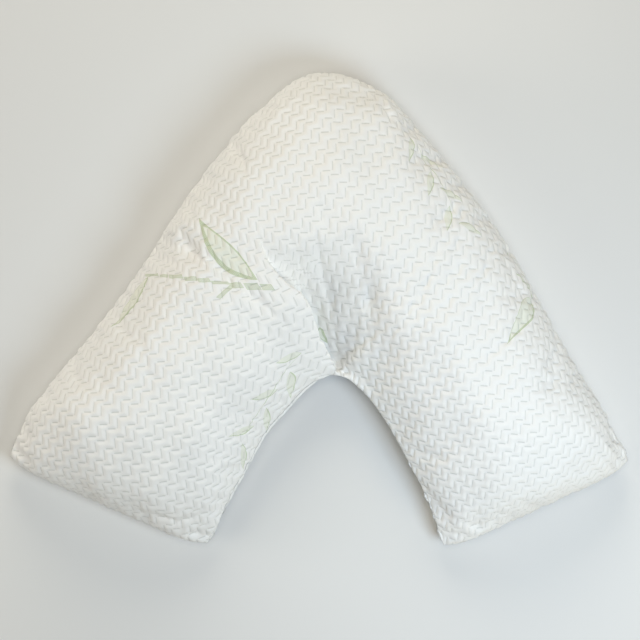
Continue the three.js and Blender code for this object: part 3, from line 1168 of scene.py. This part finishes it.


# %% [markdown]
# Now the material itself. Its colour is the white, then the print, then painted shade in the grooves and
# along the seam's line, one laid over another, and the stitches and grooves come once more as fine bumps.

# %% The quilted knit
def knit_material():
    """The white knit with its print, its grooves and its fine stitches."""
    material = bpy.data.materials.new("quilted_knit")
    material.use_nodes = True
    tree = material.node_tree
    shader = tree.nodes["Principled BSDF"]
    m = sums(tree)
    panel = tree.nodes.new("ShaderNodeUVMap")
    panel.uv_map = "panel"
    cloth = panel.outputs[0]
    place = tree.nodes.new("ShaderNodeSeparateXYZ")
    tree.links.new(cloth, place.inputs[0])
    x, y = place.outputs["X"], place.outputs["Y"]
    drift = tree.nodes.new("ShaderNodeTexNoise")
    drift.inputs["Scale"].default_value = DRIFT_SCALE
    drift.inputs["Detail"].default_value = 2.0
    tree.links.new(cloth, drift.inputs["Vector"])
    colour = mixed(tree, drift.outputs[0], KNIT_WHITE, KNIT_WARM)
    dark, pale = print_ink(tree, m, cloth)
    colour = mixed(tree, pale, colour, LEAF_PALE)
    colour = mixed(tree, dark, colour, LEAF_GREEN)
    tread, riser = nearest_stair(m, x, y, QUILT)
    riser_groove = m("MULTIPLY", soft_line(m, riser, RISER_LINE), RISER_SHARE)
    groove = m("ADD", soft_line(m, tread, TREAD_LINE), riser_groove)
    # painted shade in the quilting's grooves, with a little of the real darkening where the yarns lie close
    colour = mixed(tree, from_0_to_1(m("ADD", groove, 0.0)), colour, GROOVE_SHADE, "MULTIPLY")
    # painted shade along the seam, in the crevice where thread pulls the two panels together
    colour = mixed(tree, m("MULTIPLY", seam_line(tree, m), SEAM_STRENGTH), colour, SEAM_SHADE, "MULTIPLY")
    tree.links.new(colour, shader.inputs["Base Color"])
    height = m("SUBTRACT", m("MULTIPLY", knit_stitches(m, x, y), STITCH_HEIGHT), groove)
    bump = tree.nodes.new("ShaderNodeBump")
    bump.inputs["Strength"].default_value = BUMP_STRENGTH
    bump.inputs["Distance"].default_value = BUMP_DISTANCE
    tree.links.new(height, bump.inputs["Height"])
    tree.links.new(bump.outputs[0], shader.inputs["Normal"])
    shader.inputs["Roughness"].default_value = ROUGHNESS
    shader.inputs["Sheen Weight"].default_value = SHEEN
    shader.inputs["Sheen Roughness"].default_value = SHEEN_ROUGHNESS
    return material


# %% [markdown]
# The material is made first, because the tree sets it as its last step. The pressed mesh then replaces
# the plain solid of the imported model. Where the quilting would reach below the surface, it lies flat.

# %% Press the quilting and put the cover in its place
knit = knit_material()
made_by_nodes(cover, quilting_tree(knit), "v_pillow_cover")
cover.name = "v_pillow_cover"
points = read_points(cover.data)
points[:, 2] = np.maximum(points[:, 2], 0.0)
write_points(cover.data, points)
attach(cover, "root")
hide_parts("v_pillow")
print("quilted cover:", len(cover.data.polygons), "faces")

# %% [markdown]
# The pillow lies on a plain pale floor. The camera looks down on it from almost straight above, as in the
# photograph, and its lens is worked out so that one pixel of a 640 pixel picture is 1.593 mm.

# %% Floor and camera
FLOOR_SIDE = 12.0
FLOOR_PALE = (0.74, 0.74, 0.735, 1)
FLOOR_ROUGHNESS = 0.9
PHOTO_PIXELS = 640
METRES_PER_PIXEL = 0.001593
CAMERA_AIM = Vector((0.0012, -0.0175, 0.07))
CAMERA_DISTANCE = 2.6
CAMERA_ELEVATION = math.radians(88)

bpy.ops.mesh.primitive_plane_add(size=FLOOR_SIDE)
floor = bpy.context.object
floor.name = "floor"
floor_paint = bpy.data.materials.new("pale_floor")
floor_paint.use_nodes = True
floor_shader = floor_paint.node_tree.nodes["Principled BSDF"]
floor_shader.inputs["Base Color"].default_value = FLOOR_PALE
floor_shader.inputs["Roughness"].default_value = FLOOR_ROUGHNESS
floor.data.materials.append(floor_paint)

camera = bpy.data.objects.new("camera", bpy.data.cameras.new("camera"))
bpy.context.scene.collection.objects.link(camera)
back_way = Vector((0, -math.cos(CAMERA_ELEVATION), math.sin(CAMERA_ELEVATION)))
camera.location = CAMERA_AIM + back_way * CAMERA_DISTANCE
camera.rotation_euler = (-back_way).to_track_quat("-Z", "Y").to_euler()
camera.data.lens = camera.data.sensor_width * CAMERA_DISTANCE / (PHOTO_PIXELS * METRES_PER_PIXEL)
bpy.context.scene.camera = camera

# %% [markdown]
# Soft light comes from discs 0.7 to 1.2 metres across. One hangs overhead, one stands for a cool window at
# the lower right, and the others for pale walls and warm light low down, so that no side of the pillow is
# lost in shade. The room itself adds only a faint even light.

# %% Lamps and room
LAMPS = [  # name, place, size, watts, colour
    ("overhead", (0, 0, 2.7), 1.2, 20, (1.0, 0.98, 0.92)),
    ("window", (0.75, -0.65, 1.3), 0.7, 13, (0.70, 0.85, 1.0)),
    ("warm_wall", (0, 1.9, 1.25), 1.2, 22, (1.0, 0.94, 0.8)),
    ("left_wall", (-1.9, -0.5, 1.25), 1.2, 8, (1.0, 0.98, 0.8)),
    ("low_left", (-2.2, 0, 0.6), 0.8, 8, (1.0, 0.92, 0.9)),
    ("low_right", (1.6, -1.5, 0.6), 0.8, 9, (1.0, 0.82, 0.5)),
]
ROOM_COLOUR = (0.97, 0.98, 1.0, 1)
ROOM_STRENGTH = 0.02


def soft_light(name, place, size, power, colour):
    """A round lamp that looks at the pillow."""
    lamp = bpy.data.lights.new(name, "AREA")
    lamp.shape = "DISK"
    lamp.size = size
    lamp.energy = power
    lamp.color = colour
    holder = bpy.data.objects.new(name, lamp)
    holder.location = place
    holder.rotation_euler = (CAMERA_AIM - Vector(place)).to_track_quat("-Z", "Y").to_euler()
    bpy.context.scene.collection.objects.link(holder)


for row in LAMPS:
    soft_light(*row)
world = bpy.data.worlds.new("studio")
bpy.context.scene.world = world
world.use_nodes = True
sky = world.node_tree.nodes["Background"]
sky.inputs["Color"].default_value = ROOM_COLOUR
sky.inputs["Strength"].default_value = ROOM_STRENGTH
bpy.context.scene.view_settings.view_transform = "Standard"
print("lens, mm:", round(camera.data.lens, 1), "and all lamps, W:", sum(row[3] for row in LAMPS))
